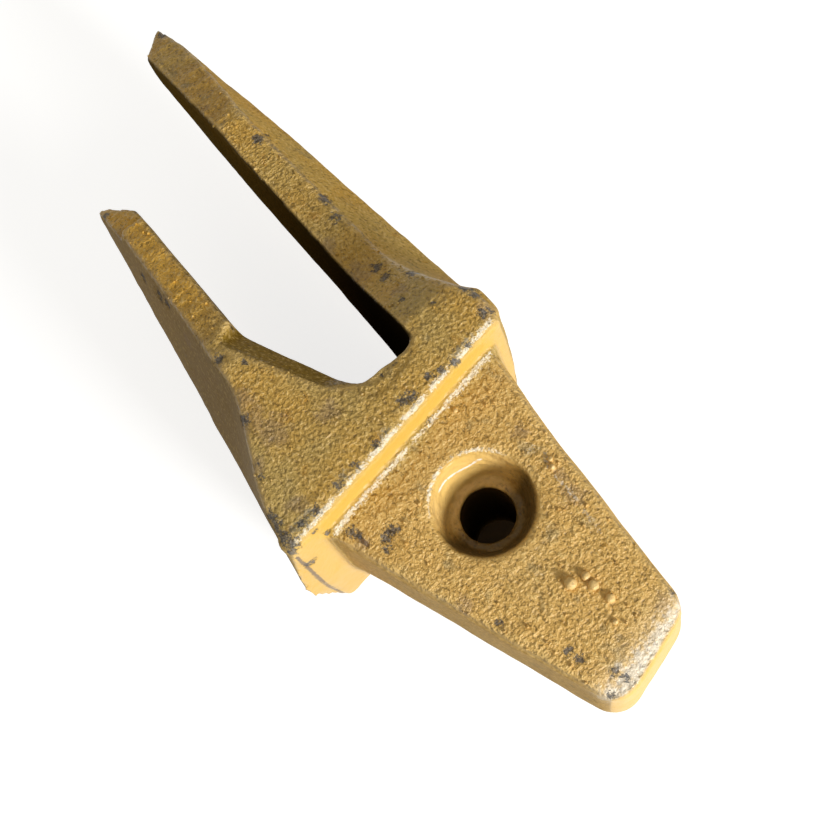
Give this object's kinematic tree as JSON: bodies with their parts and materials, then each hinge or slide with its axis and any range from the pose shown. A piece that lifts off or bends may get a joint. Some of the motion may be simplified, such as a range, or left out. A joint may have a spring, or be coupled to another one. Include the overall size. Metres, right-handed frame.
{
  "type": "bucket tooth adapter",
  "caption": "One-piece cast adapter that is welded to a bucket lip between two straps and carries a replaceable digging tooth on a tapered nose with a side pin bore.",
  "frame": {"origin": "where the axis of the side pin bore crosses the parting plane of the casting, half way across its width", "axes": "+Z runs along the pin bore, out of the side that has the retainer's seat. +X runs along the lip slot, towards the nose. +Y is towards the long strap."},
  "size_m": [0.3518, 0.1209, 0.112],
  "materials": {
    "painted_casting": "thin ochre paint over rough sand-cast steel, chipped to blue-grey metal and rubbed pale on the edges"
  },
  "bodies": {
    "root": {"adapter_casting": "painted_casting"}
  },
  "joints": []
}
